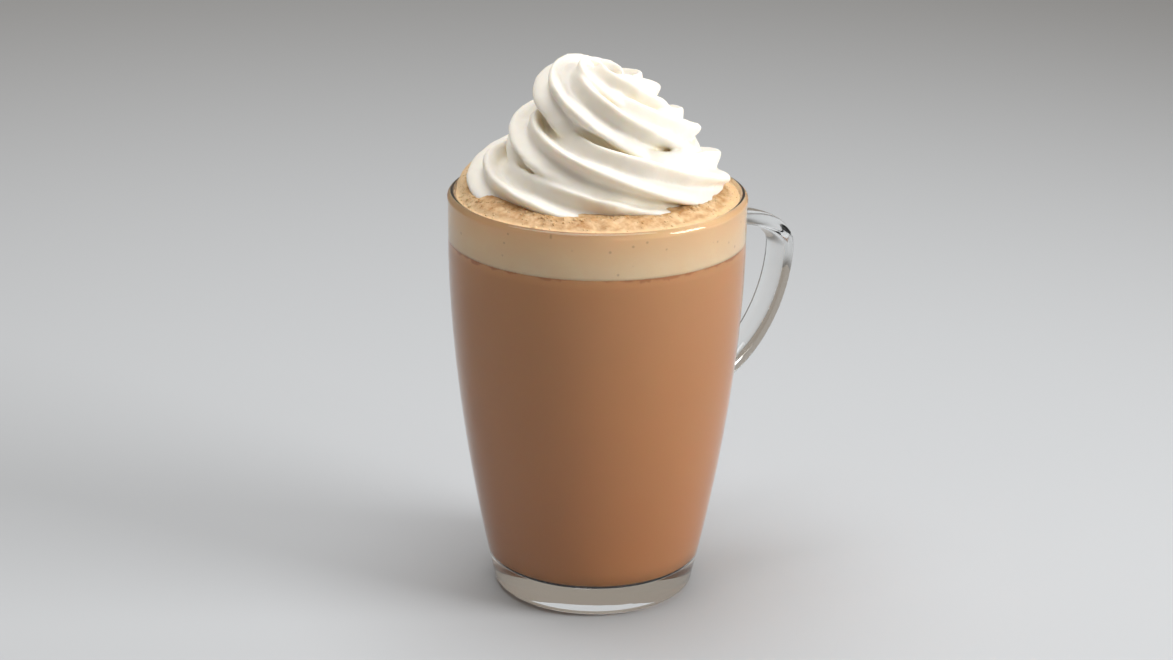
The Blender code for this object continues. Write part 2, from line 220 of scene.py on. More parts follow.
# Picture
VIEW_TURN = math.radians(-40)  # from the viewer's right, away and up to the frame of the solids
PHOTO_WIDTH = 1173
FOCAL_PIXELS = 2382
SENSOR_WIDTH = 36.0
CAMERA_PLACE = (0.0, -0.700, 0.331)
CAMERA_YAW = math.radians(-0.24)
CAMERA_PITCH = math.radians(19.48)
CAMERA_ROLL = math.radians(0.67)
FLOOR_LEVEL = -0.0003  # just under the foot, which would mirror wrongly if it met the floor face to face
FLOOR_RADIUS = 4.0
FLOOR_COLOUR = (0.515, 0.545, 0.58)
FLOOR_ROUGHNESS = 0.9
SURROUNDINGS = (0.88, 0.77, 0.65, 1.0)
SURROUNDINGS_STRENGTH = 0.35
LIT_PLACE = (0.0, 0.0, 0.09)  # the lights point here
KEY_COLOUR = (1.0, 0.98, 0.95)
KEY_SPREAD = math.radians(90)
FILL_COLOUR = (1.0, 0.93, 0.84)


# Tools for shaping


def deselect():
    """Leaves object mode with nothing selected."""
    if bpy.context.object and bpy.context.object.mode != "OBJECT":
        bpy.ops.object.mode_set(mode="OBJECT")
    bpy.ops.object.select_all(action="DESELECT")


def spin_profile(name, profile, steps):
    """Draws a (radius, height) profile with extruded vertices and spins it round the Z axis."""
    deselect()
    start_radius, start_height = profile[0]
    bpy.ops.mesh.primitive_plane_add(size=0.001, location=(start_radius, 0.0, start_height))
    piece = bpy.context.object
    piece.name = name
    bpy.ops.object.transform_apply(location=True, rotation=True, scale=True)
    bpy.ops.object.mode_set(mode="EDIT")
    bpy.ops.mesh.select_all(action="SELECT")
    bpy.ops.mesh.merge(type="CENTER")
    for (radius, height), (next_radius, next_height) in zip(profile[:-1], profile[1:]):
        step = (next_radius - radius, 0.0, next_height - height)
        bpy.ops.mesh.extrude_vertices_move(TRANSFORM_OT_translate={"value": step})
    bpy.ops.mesh.select_all(action="SELECT")
    bpy.ops.mesh.spin(steps=steps, angle=math.tau, center=(0.0, 0.0, 0.0), axis=(0.0, 0.0, 1.0))
    bpy.ops.mesh.select_all(action="SELECT")
    bpy.ops.mesh.remove_doubles(threshold=2e-6)
    bpy.ops.mesh.normals_make_consistent(inside=False)
    bpy.ops.object.mode_set(mode="OBJECT")
    bpy.ops.object.shade_smooth()
    return piece


def apply_all(piece):
    """Applies every modifier of a piece."""
    deselect()
    piece.select_set(True)
    bpy.context.view_layer.objects.active = piece
    for modifier in list(piece.modifiers):
        bpy.ops.object.modifier_apply(modifier=modifier.name)


def form_to_piece(name, form):
    """Turns a bmesh into a smooth-shaded piece."""
    mesh = bpy.data.meshes.new(name)
    form.to_mesh(mesh)
    form.free()
    mesh.shade_smooth()
    piece = bpy.data.objects.new(name, mesh)
    bpy.context.collection.objects.link(piece)
    return piece


def skin(form, rings):
    """Quads between neighbouring closed rings of vertices."""
    for lower, upper in zip(rings[:-1], rings[1:]):
        count = len(lower)
        for k in range(count):
            after = (k + 1) % count
            form.faces.new((lower[k], lower[after], upper[after], upper[k]))


def arc(centre_radius, centre_height, radius, start, end, steps):
    """Points of an arc in the (radius, height) plane, angles in degrees."""
    points = []
    for k in range(steps + 1):
        angle = math.radians(start + (end - start) * k / steps)
        points.append((centre_radius + radius * math.cos(angle), centre_height + radius * math.sin(angle)))
    return points


def eased(share):
    """Smooth step from 0 to 1."""
    share = min(1.0, max(0.0, share))
    return share * share * (3 - 2 * share)


def outer_radius(height):
    """Outer radius of the mug's body at a height."""
    below = max(0.0, 1.0 - height / TAPER_HEIGHT)
    return BODY_RADIUS - (BODY_RADIUS - FOOT_RADIUS) * below**TAPER_POWER


def inner_radius(height):
    """Inner radius of the mug's body, without the rounding at its floor."""
    return outer_radius(height) - WALL


def inner_outline(grow, top, rows):
    """The mug's inside from the axis up to a height, grown into the glass by an amount."""
    floor = FLOOR_HEIGHT - grow
    round_radius = FLOOR_ROUND + grow
    corner_height = floor + round_radius
    wall = inner_radius(corner_height) + grow
    points = [(0.0, floor)]
    points += arc(wall - round_radius, corner_height, round_radius, CORNER_START, CORNER_END, CORNER_STEPS)
    for k in range(1, rows + 1):
        height = corner_height + (top - corner_height) * k / rows
        points.append((inner_radius(height) + grow, height))
    return points


# Glass mug


def handle_point(share):
    """Centre of the strap at a share of its length, as (reach, height)."""
    if share < HANDLE_TOP_SHARE:
        angle = math.pi / 2 * share / HANDLE_TOP_SHARE
        reach = HANDLE_TOP_ROOT + (HANDLE_REACH - HANDLE_TOP_ROOT) * math.sin(angle)
        height = HANDLE_WIDEST + (HANDLE_TOP - HANDLE_WIDEST) * math.cos(angle)
        return reach, height
    angle = math.pi / 2 * (share - HANDLE_TOP_SHARE) / (1.0 - HANDLE_TOP_SHARE)
    power = 2 / HANDLE_LOWER_POWER
    reach = HANDLE_FOOT_ROOT + (HANDLE_REACH - HANDLE_FOOT_ROOT) * max(0.0, math.cos(angle)) ** power
    height = HANDLE_WIDEST - (HANDLE_WIDEST - HANDLE_FOOT) * math.sin(angle) ** power
    return reach, height


def make_handle():
    """The strap: a rounded rectangle swept along its centre line and flared at both roots."""
    form = bmesh.new()
    rings = []
    nudge = 1e-3
    for k in range(HANDLE_STATIONS + 1):
        share = k / HANDLE_STATIONS
        before = handle_point(max(0.0, share - nudge))
        after = handle_point(min(1.0, share + nudge))
        along = Vector((after[0] - before[0], 0.0, after[1] - before[1])).normalized()
        outward = Vector((-along.z, 0.0, along.x))
        end_share = min(share, 1.0 - share) / HANDLE_FLARE_SHARE
        flare = 1.0 + HANDLE_FLARE * max(0.0, 1.0 - end_share) ** 2
        reach, height = handle_point(share)
        centre = Vector((reach, 0.0, height))
        ring = []
        for side in range(HANDLE_SIDES):
            angle = math.tau * (side + 0.5) / HANDLE_SIDES
            across = math.copysign(abs(math.cos(angle)) ** (2 / HANDLE_EDGE_POWER), math.cos(angle))
            through = math.copysign(abs(math.sin(angle)) ** (2 / HANDLE_EDGE_POWER), math.sin(angle))
            offset = Vector((0.0, across * flare * HANDLE_WIDTH / 2, 0.0))
            offset += outward * (through * flare * HANDLE_THICKNESS / 2)
            ring.append(form.verts.new(centre + offset))
        rings.append(ring)
    skin(form, rings)
    form.faces.new(rings[0])
    form.faces.new(rings[-1])
    bmesh.ops.recalc_face_normals(form, faces=form.faces)
    return form_to_piece("handle_strap", form)


def make_mug():
    """Body and handle fused into one piece of clear glass."""
    foot_wall = outer_radius(FOOT_ROUND)
    profile = [(0.0, 0.0), (foot_wall * 0.5, 0.0)]
    profile += arc(foot_wall - FOOT_ROUND, FOOT_ROUND, FOOT_ROUND, -90, 0, FOOT_STEPS)
    lip_radius = WALL / 2 + LIP_BEAD
    lip_height = MUG_HEIGHT - lip_radius
    last = lip_height - 2 * lip_radius
    for k in range(1, WALL_ROWS + 1):
        height = FOOT_ROUND + (last - FOOT_ROUND) * k / WALL_ROWS
        profile.append((outer_radius(height), height))
    profile += arc(BODY_RADIUS - WALL / 2, lip_height, lip_radius, LIP_FROM, LIP_TO, LIP_STEPS)
    profile += inner_outline(0.0, last, WALL_ROWS)[::-1]
    mug = spin_profile("glass_mug", profile, MUG_STEPS)
    handle = make_handle()
    fuse = mug.modifiers.new("fuse_handle", "BOOLEAN")
    fuse.operation = "UNION"
    fuse.object = handle
    apply_all(mug)
    bpy.data.objects.remove(handle)
    bpy.ops.object.shade_smooth_by_angle(angle=math.radians(35))
    return mug


# Drink and foam


def make_mocha():
    """The drink, from the mug's floor up to the foam."""
    profile = inner_outline(INTO_WALL, FOAM_LINE, MOCHA_ROWS)
    corner = inner_outline(0.0, FOAM_LINE, MOCHA_ROWS)
    for k in range(CORNER_STEPS + 2):
        angle = CORNER_START + (CORNER_END - CORNER_START) * (k - 1) / CORNER_STEPS
        wetted = eased((angle - MIRROR_FROM) / (MIRROR_TO - MIRROR_FROM))
        radius, height = corner[k]
        outward = math.radians(max(CORNER_START, angle))
        grow = INTO_WALL * wetted - ABOVE_FLOOR * (1 - wetted)
        if k == 0:
            profile[k] = (0.0, height - grow)
        else:
            profile[k] = (radius + grow * math.cos(outward), height + grow * math.sin(outward))
    profile.append((0.0, FOAM_LINE))
    return spin_profile("mocha_drink", profile, MUG_STEPS)


def on_lip(degrees, clearance=0.0):
    """A place round the section of the rounded lip, as (radius, height)."""
    angle = math.radians(degrees)
    lip_radius = WALL / 2 + LIP_BEAD
    reach = lip_radius + clearance
    return BODY_RADIUS - WALL / 2 + reach * math.cos(angle), MUG_HEIGHT - lip_radius + reach * math.sin(angle)


def heap_height(angle):
    """How high the froth is heaped at the far left, in a direction from the mug's axis."""
    degrees = math.degrees(angle) % 360
    rise = eased((HEAP_START - degrees) / (HEAP_START - HEAP_FULL))
    fall = eased((degrees - HEAP_END) / (HEAP_STILL_FULL - HEAP_END))
    return HEAP_HEIGHT * rise * fall


def froth_edge(angle):
    """Where the froth ends on the lip, in degrees round the lip's section."""
    spill = eased((heap_height(angle) - SPILL_START) / SPILL_RANGE)
    return EDGE_ON_LIP + (SPILL_ON_LIP - EDGE_ON_LIP) * spill


def froth_level(radius, angle):
    """Height of the froth's surface, without its lumps."""
    edge_radius, edge_height = on_lip(froth_edge(angle))
    inward = edge_radius - radius
    off_bank = math.remainder(angle - BANK_ANGLE, math.tau) / BANK_SPREAD
    bank = BANK_HEIGHT * math.exp(-off_bank * off_bank) * eased(inward / BANK_SPAN)
    dome = FROTH_DOME * eased(inward / FROTH_DOME_SPAN)
    full = FROTH_EDGE + dome + bank + heap_height(angle)
    return edge_height + (full - edge_height) * eased(inward / HEAP_SPAN)


def froth_lumps(place):
    """Uneven height of the froth: soft lumps with finer ones on them."""
    flat = Vector((place.x, place.y, 0.0))
    coarse = noise.noise(flat / LUMP_SIZE)
    fine = noise.noise(flat / (LUMP_SIZE * 0.38) + Vector((7.3, 1.9, 0.0)))
    finest = noise.noise(flat / (LUMP_SIZE * 0.17) + Vector((2.1, 8.7, 0.0)))
    return LUMP_HEIGHT * (coarse + 0.3 * fine + 0.08 * finest)


def make_foam():
    """The milk foam: a band behind the glass and the frothed surface that the cream sits in."""
    low = FOAM_LINE - INTO_WALL
    high = on_lip(180)[1]
    profile = [(0.0, low)]
    for k in range(BAND_ROWS + 1):
        height = low + (high - low) * k / BAND_ROWS
        profile.append((inner_radius(height) + INTO_WALL, height))
    edge = profile[-1][0]
    for k in range(1, LIP_ROWS + 1):
        profile.append((edge, high + k * ROW_MARK))
    top = high + (LIP_ROWS + 1) * ROW_MARK
    for k in range(1, FROTH_ROWS + 1):
        profile.append((edge + (FROTH_HIDDEN - edge) * k / FROTH_ROWS, top))
    profile.append((0.0, top))
    foam = spin_profile("frothed_milk", profile, FOAM_STEPS)
    for vertex in foam.data.vertices:
        place = vertex.co
        row = round((place.z - high) / ROW_MARK)
        if row < 1:
            continue
        angle = math.atan2(place.y, place.x)
        radius = math.hypot(place.x, place.y)
        end_on_lip = froth_edge(angle)
        if row <= LIP_ROWS:
            new_radius, level = on_lip(180 + (end_on_lip - 180) * row / LIP_ROWS, -INTO_WALL)
        else:
            end_radius = on_lip(end_on_lip, -INTO_WALL)[0]
            new_radius = end_radius + (FROTH_HIDDEN - end_radius) * (edge - radius) / (edge - FROTH_HIDDEN)
            if radius < FROTH_HIDDEN:
                new_radius = radius
            lumps = froth_lumps(place) * eased((end_radius - new_radius) / LUMP_FADE)
            level = froth_level(new_radius, angle) + lumps
        place.x = new_radius * math.cos(angle)
        place.y = new_radius * math.sin(angle)
        place.z = level
    return foam


# Cream


def between(stations, column, position):
    """Smooth value of a column of a table at a position given by the table's first column."""
    last = len(stations) - 1
    index = 0
    while index < last - 1 and position > stations[index + 1][0]:
        index += 1

    def slope(k):
        low = max(0, k - 1)
        high = min(last, k + 1)
        return (stations[high][column] - stations[low][column]) / (stations[high][0] - stations[low][0])

    width = stations[index + 1][0] - stations[index][0]
    t = (position - stations[index][0]) / width
    first = (2 * t**3 - 3 * t**2 + 1) * stations[index][column]
    second = (t**3 - 2 * t**2 + t) * width * slope(index)
    third = (3 * t**2 - 2 * t**3) * stations[index + 1][column]
    fourth = (t**3 - t**2) * width * slope(index + 1)
    return first + second + third + fourth


def rope_centre(turn):
    """Centre of the piped rope at a turn."""
    shift = between(SWIRL_RINGS, 1, turn)
    ring_radius = between(SWIRL_RINGS, 2, turn)
    height = between(SWIRL_RINGS, 3, turn)
    fall = between(SWIRL_RINGS, 5, turn)
    angle = -math.tau * turn
    across = shift + ring_radius * math.cos(angle)
    aside = SWIRL_CENTRE + ring_radius * math.sin(angle)
    x = across * math.cos(SWIRL_ANGLE) - aside * math.sin(SWIRL_ANGLE)
    y = across * math.sin(SWIRL_ANGLE) + aside * math.cos(SWIRL_ANGLE)
    return Vector((x, y, height - fall * math.cos(angle)))


def star_radius(angle):
    """Radius of the star-shaped rope, as a share of its ridge radius."""
    place = STAR_RIDGES * angle
    place += STAR_NARROWING * math.sin(place)
    return 1.0 - STAR_DEPTH * (0.5 - 0.5 * math.cos(place))


def rope_rings():
    """Cross-sections of the piped rope along its path, each a list of points."""
    first = SWIRL_RINGS[0][0]
    last = SWIRL_RINGS[-1][0]
    count = round((last - first) * math.tau / ROPE_STEP)
    turns = [first + (last - first) * k / count for k in range(count + 1)]
    centres = [rope_centre(turn) for turn in turns]
    travelled = [0.0]
    for before, after in zip(centres[:-1], centres[1:]):
        travelled.append(travelled[-1] + (after - before).length)
    rings = []
    for k, turn in enumerate(turns):
        along = (centres[min(k + 1, count)] - centres[max(k - 1, 0)]).normalized()
        angle = SWIRL_ANGLE - math.tau * turn
        outward = Vector((math.cos(angle), math.sin(angle), 0.0))
        outward = (outward - along * outward.dot(along)).normalized()
        upward = outward.cross(along)
        if upward.z < 0:
            upward.negate()
        left_at_start = max(0.0, 1.0 - travelled[k] / ROPE_END_ROUND)
        left_at_tip = max(0.0, 1.0 - (travelled[-1] - travelled[k]) / TIP_END_ROUND)
        blunt_start = math.sqrt(max(ROPE_POINT, 1.0 - left_at_start**2))
        blunt_tip = math.sqrt(max(ROPE_POINT, 1.0 - left_at_tip**2))
        size = between(SWIRL_RINGS, 4, turn) * (blunt_start * blunt_tip)
        turned_by = RIDGE_START + math.tau * RIDGE_TWIST * turn + between(SWIRL_RINGS, 6, turn)
        ring = []
        for side in range(ROPE_SIDES):
            around = math.tau * side / ROPE_SIDES
            radius = size * star_radius(around - turned_by)
            ring.append(centres[k] + radius * (math.cos(around) * outward + math.sin(around) * upward))
        rings.append(ring)
    return rings


def swirl_axis(height):
    """Middle of the swirl at a height, for the plug inside it."""
    turn = 1.0
    while turn < SWIRL_RINGS[-1][0] - 0.5 and rope_centre(turn + 0.25).z < height:
        turn += 0.05
    total = Vector((0.0, 0.0, 0.0))
    for k in range(4):
        total += rope_centre(turn - 0.5 + k / 4)
    return Vector((total.x / 4, total.y / 4, height))


def make_uneven(piece):
    """Takes the machine-made evenness out of the swirl: slow swells with finer ones on them."""
    mesh = piece.data
    moved = []
    for vertex in mesh.vertices:
        slow = noise.noise(vertex.co / UNEVEN_SIZE)
        quick = noise.noise(vertex.co / (UNEVEN_SIZE * 0.35) + Vector((3.1, 0.0, 5.7)))
        moved.append(vertex.co + vertex.normal * UNEVEN_HEIGHT * (slow + 0.3 * quick))
    for vertex, place in zip(mesh.vertices, moved):
        vertex.co = place


def mark_folds(piece):
    """Stores in each vertex how closed in by the folds around it a place is, from 0 to 1, which sets the
    painted shade in the cream's colour.
    """
    mesh = piece.data
    tree = BVHTree.FromPolygons([v.co for v in mesh.vertices], [p.vertices for p in mesh.polygons])
    rays = []
    for k in range(FOLD_RAYS):
        height = 1.0 - FOLD_OPENING * (k + 0.5) / FOLD_RAYS
        angle = k * math.pi * (3.0 - math.sqrt(5.0))
        flat = math.sqrt(1.0 - height * height)
        rays.append(Vector((flat * math.cos(angle), flat * math.sin(angle), height)))
    marks = []
    for vertex in mesh.vertices:
        turn = Vector((0.0, 0.0, 1.0)).rotation_difference(vertex.normal)
        start = vertex.co + vertex.normal * FOLD_LIFT
        closed = 0.0
        for ray in rays:
            hit = tree.ray_cast(start, turn @ ray, FOLD_REACH)
            if hit[0] is not None:
                closed += 1.0 - hit[3] / FOLD_REACH
        marks.append(closed / FOLD_RAYS)
    attribute = mesh.attributes.new("fold", "FLOAT", "POINT")
    attribute.data.foreach_set("value", marks)


def make_cream():
    """The swirl: a star-shaped rope and the plug in its middle, melted together."""
    form = bmesh.new()
    rope = [[form.verts.new(point) for point in ring] for ring in rope_rings()]
    skin(form, rope)
    form.faces.new(rope[0])
    form.faces.new(rope[-1])
    plug = []
    for radius, height in CORE_OUTLINE:
        middle = swirl_axis(height)
        circle = []
        for k in range(CORE_SIDES):
            angle = math.tau * k / CORE_SIDES
            circle.append(form.verts.new(middle + radius * Vector((math.cos(angle), math.sin(angle), 0.0))))
        plug.append(circle)
    skin(form, plug)
    form.faces.new(plug[0])
    form.faces.new(plug[-1])
    bmesh.ops.recalc_face_normals(form, faces=form.faces)
    cream = form_to_piece("cream_swirl", form)
    melt = cream.modifiers.new("melt", "REMESH")
    melt.mode = "VOXEL"
    melt.voxel_size = CREAM_VOXEL
    soften = cream.modifiers.new("soften", "SMOOTH")
    soften.iterations = CREAM_SMOOTHING
    apply_all(cream)
    make_uneven(cream)
    bpy.ops.object.mode_set(mode="EDIT")
    bpy.ops.mesh.select_all(action="SELECT")
    bpy.ops.mesh.bisect(
        plane_co=(0.0, 0.0, CREAM_FOOT), plane_no=(0.0, 0.0, 1.0), use_fill=True, clear_inner=True
    )
    bpy.ops.mesh.select_all(action="SELECT")
    bpy.ops.mesh.normals_make_consistent(inside=False)
    bpy.ops.object.mode_set(mode="OBJECT")
    bpy.ops.object.shade_smooth()
    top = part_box("whipped_cream")[1][2]
    for vertex in cream.data.vertices:
        vertex.co.z = min(vertex.co.z, top)
    mark_folds(cream)
    return cream


# Tools for materials


def add_node(tree, kind, inputs=None, **settings):
    """A node with its settings made, and each input given a value or a link."""
    made = tree.nodes.new(kind)
    for name, value in settings.items():
        setattr(made, name, value)
    for name, value in (inputs or {}).items():
        socket = made.inputs[name]
        if isinstance(value, bpy.types.NodeSocket):
            tree.links.new(value, socket)
        else:
            socket.default_value = value
    return made


def mixed(tree, share, first, second):
    """A colour between two colours."""
    node = add_node(tree, "ShaderNodeMix", data_type="RGBA")
    for socket, value in ((node.inputs[0], share), (node.inputs[6], first), (node.inputs[7], second)):
        if isinstance(value, bpy.types.NodeSocket):
            tree.links.new(value, socket)
        elif socket.type == "RGBA":
            socket.default_value = (*value, 1.0)
        else:
            socket.default_value = value
    return node.outputs[2]


def ranged(tree, value, low, high, to_low=0.0, to_high=1.0):
    """A value moved from one range to another, and held inside it."""
    node = add_node(tree, "ShaderNodeMapRange", {"Value": value}, interpolation_type="SMOOTHSTEP")
    node.inputs["From Min"].default_value = low
    node.inputs["From Max"].default_value = high
    node.inputs["To Min"].default_value = to_low
    node.inputs["To Max"].default_value = to_high
    return node.outputs["Result"]


def combined(tree, operation, first, second):
    """Maths on two values."""
    node = tree.nodes.new("ShaderNodeMath")
    node.operation = operation
    for socket, value in zip(node.inputs, (first, second)):
        if isinstance(value, bpy.types.NodeSocket):
            tree.links.new(value, socket)
        else:
            socket.default_value = value
    return node.outputs[0]


def new_group(name, inputs, outputs):
    """An empty shader node group with its sockets, and its two end nodes."""
    group = bpy.data.node_groups.new(name, "ShaderNodeTree")
    for socket_name, default in inputs:
        socket = group.interface.new_socket(socket_name, in_out="INPUT", socket_type="NodeSocketFloat")
        socket.default_value = default
    for socket_name in outputs:
        group.interface.new_socket(socket_name, in_out="OUTPUT", socket_type="NodeSocketFloat")
    return group, group.nodes.new("NodeGroupInput"), group.nodes.new("NodeGroupOutput")


def slow_tone_group():
    """Cloudy variation, from 0 to 1, at a scale given in 1/m."""
    group, given, result = new_group("cloudy_tone", (("Scale", 60.0), ("Contrast", 1.0)), ("Tone",))
    place = add_node(group, "ShaderNodeTexCoord")
    clouds = add_node(
        group,
        "ShaderNodeTexNoise",
        {"Vector": place.outputs["Object"], "Scale": given.outputs["Scale"], "Detail": 4.0, "Roughness": 0.6},
    )
    centred = combined(group, "SUBTRACT", clouds.outputs["Fac"], 0.5)
    stretched = combined(group, "MULTIPLY", centred, given.outputs["Contrast"])
    tone = combined(group, "ADD", stretched, 0.5)
    group.links.new(tone, result.inputs["Tone"])
    return group


def bubble_group():
    """Packed bubbles: their domes as a height, and a mask of scattered dark specks."""
    group, given, result = new_group(
        "packed_bubbles", (("Scale", 900.0), ("Speck Scale", 700.0), ("Specks", 0.3)), ("Height", "Specks")
    )
    place = add_node(group, "ShaderNodeTexCoord")
    cells = add_node(
        group,
        "ShaderNodeTexVoronoi",
        {"Vector": place.outputs["Object"], "Scale": given.outputs["Scale"], "Randomness": 1.0},
    )
    large = add_node(
        group,
        "ShaderNodeTexVoronoi",
        {
            "Vector": place.outputs["Object"],
            "Scale": combined(group, "MULTIPLY", given.outputs["Scale"], 0.37),
            "Randomness": 1.0,
        },
    )
    dome = ranged(group, cells.outputs["Distance"], 0.0, 0.7, 1.0, 0.0)
    wide_dome = ranged(group, large.outputs["Distance"], 0.0, 0.6, 1.0, 0.0)
    small_relief = combined(group, "MULTIPLY", dome, 0.5)
    large_relief = combined(group, "MULTIPLY", wide_dome, 0.8)
    height = combined(group, "ADD", small_relief, large_relief)
    group.links.new(height, result.inputs["Height"])
    dust = add_node(
        group,
        "ShaderNodeTexVoronoi",
        {"Vector": place.outputs["Object"], "Scale": given.outputs["Speck Scale"], "Randomness": 1.0},
    )
    spot = ranged(group, dust.outputs["Distance"], 0.12, 0.3, 1.0, 0.0)
    separate = add_node(group, "ShaderNodeSeparateColor", {"Color": dust.outputs["Color"]})
    chosen = combined(group, "LESS_THAN", separate.outputs["Red"], given.outputs["Specks"])
    specks = combined(group, "MULTIPLY", spot, chosen)
    group.links.new(specks, result.inputs["Specks"])
    return group


def use_group(tree, group, **values):
    """Places a group in a material with its own values."""
    node = tree.nodes.new("ShaderNodeGroup")
    node.node_tree = group
    for name, value in values.items():
        node.inputs[name.replace("_", " ")].default_value = value
    return node


def start_material(name):
    """A new node material and its Principled shader."""
    material = bpy.data.materials.new(name)
    material.use_nodes = True
    return material, material.node_tree, material.node_tree.nodes["Principled BSDF"]


# Materials


def glass_material(cloudy):
    """Clear soda glass with a faint waviness and handling marks."""
    material, tree, shader = start_material("clear_blown_glass")
    shader.inputs["Base Color"].default_value = GLASS_TINT
    shader.inputs["Transmission Weight"].default_value = 1.0
    shader.inputs["Metallic"].default_value = 0.0
    shader.inputs["IOR"].default_value = 1.5
    marks = use_group(tree, cloudy, Scale=70.0, Contrast=1.6)
    roughness = ranged(tree, marks.outputs["Tone"], 0.3, 0.9, 0.0, 0.025)
    tree.links.new(roughness, shader.inputs["Roughness"])
    waves = use_group(tree, cloudy, Scale=28.0, Contrast=1.0)
    relief = waves.outputs["Tone"]
    bump = add_node(tree, "ShaderNodeBump", {"Strength": 0.12, "Distance": 0.0004, "Height": relief})
    tree.links.new(bump.outputs["Normal"], shader.inputs["Normal"])
    return material


def mocha_material(cloudy):
    """Milky brown drink: paler under the foam, deeper near the foot, with a dark seam at the foam."""
    material, tree, shader = start_material("milky_mocha")
    place = add_node(tree, "ShaderNodeTexCoord")
    split = add_node(tree, "ShaderNodeSeparateXYZ", {"Vector": place.outputs["Object"]})
    tone = use_group(tree, cloudy, Scale=26.0, Contrast=1.3)
    body = mixed(tree, tone.outputs["Tone"], MOCHA_DEEP, MOCHA_BRIGHT)
    milky = ranged(tree, split.outputs["Z"], MILKY_FROM, FOAM_LINE, 0.0, 0.5)
    upper = mixed(tree, milky, body, MOCHA_UNDER_FOAM)
    # darker towards the foot
    low_darkening = ranged(tree, split.outputs["Z"], DARKENING_LOW, DARKENING_HIGH, 0.5, 0.0)
    lower = mixed(tree, low_darkening, upper, MOCHA_NEAR_FOOT)
    wave = use_group(tree, cloudy, Scale=140.0, Contrast=0.006)
    height = combined(tree, "ADD", split.outputs["Z"], combined(tree, "SUBTRACT", wave.outputs["Tone"], 0.5))
    seam = ranged(tree, height, SEAM_LOW, SEAM_HIGH)
    colour = mixed(tree, seam, lower, MOCHA_SEAM)
    tree.links.new(colour, shader.inputs["Base Color"])
    streaks = ranged(tree, tone.outputs["Tone"], 0.2, 0.8, 0.58, 0.7)
    tree.links.new(streaks, shader.inputs["Roughness"])
    shader.inputs["Specular IOR Level"].default_value = 0.55
    shader.inputs["Subsurface Weight"].default_value = 0.25
    shader.inputs["Subsurface Radius"].default_value = (1.0, 0.55, 0.3)
    shader.inputs["Subsurface Scale"].default_value = 0.002
    return material


def foam_material(cloudy, bubbles):
    """Fine milk foam: cream-coloured low in the band, golden and speckled on top."""
    material, tree, shader = start_material("speckled_milk_foam")
    place = add_node(tree, "ShaderNodeTexCoord")
    split = add_node(tree, "ShaderNodeSeparateXYZ", {"Vector": place.outputs["Object"]})
    fine = use_group(tree, bubbles, Scale=2600.0, Speck_Scale=520.0, Specks=0.12)
    coarse = use_group(tree, bubbles, Scale=1250.0, Speck_Scale=800.0, Specks=0.22)
    tone = use_group(tree, cloudy, Scale=120.0, Contrast=2.0)
    patches = use_group(tree, cloudy, Scale=330.0, Contrast=3.2)
    band = mixed(tree, tone.outputs["Tone"], BAND_DEEP, BAND_PALE)
    raised = ranged(tree, split.outputs["Z"], FOAM_LINE, FROTH_EDGE, 0.0, 1.0)
    tanned = mixed(tree, raised, band, BAND_TANNED)
    golden = mixed(tree, patches.outputs["Tone"], FROTH_BROWN, FROTH_GOLD)
    level = {0: place.outputs["Object"], 1: (1.0, 1.0, 0.0)}
    flat = add_node(tree, "ShaderNodeVectorMath", level, operation="MULTIPLY")
    reach = add_node(tree, "ShaderNodeVectorMath", {0: flat.outputs["Vector"]}, operation="LENGTH")
    at_glass = ranged(tree, reach.outputs["Value"], AT_GLASS_FROM, AT_GLASS_TO, 0.0, 0.75)
    crema = mixed(tree, at_glass, golden, FROTH_AT_GLASS)
    on_top = ranged(tree, split.outputs["Z"], TOP_LOW, TOP_HIGH)
    surface = mixed(tree, on_top, tanned, crema)
    top_specks = combined(tree, "MULTIPLY", coarse.outputs["Specks"], on_top)
    speckled = mixed(tree, combined(tree, "MULTIPLY", top_specks, 0.3), surface, FROTH_SPECK)
    band_specks = combined(tree, "MULTIPLY", fine.outputs["Specks"], 0.35)
    colour = mixed(tree, band_specks, speckled, BAND_SPECK)
    tree.links.new(colour, shader.inputs["Base Color"])
    roughness = ranged(tree, coarse.outputs["Height"], 0.2, 1.1, 0.62, 0.36)
    tree.links.new(roughness, shader.inputs["Roughness"])
    relief = combined(
        tree, "ADD", combined(tree, "MULTIPLY", fine.outputs["Height"], 0.4), coarse.outputs["Height"]
    )
    relief = combined(tree, "MULTIPLY", relief, ranged(tree, on_top, 0.0, 1.0, 0.12, 1.0))
    bump = add_node(tree, "ShaderNodeBump", {"Strength": 0.25, "Distance": 0.0003, "Height": relief})
    tree.links.new(bump.outputs["Normal"], shader.inputs["Normal"])
    shader.inputs["Specular IOR Level"].default_value = 0.35
    shader.inputs["Subsurface Weight"].default_value = 0.3
    shader.inputs["Subsurface Radius"].default_value = (1.0, 0.6, 0.35)
    shader.inputs["Subsurface Scale"].default_value = 0.0025
    return material


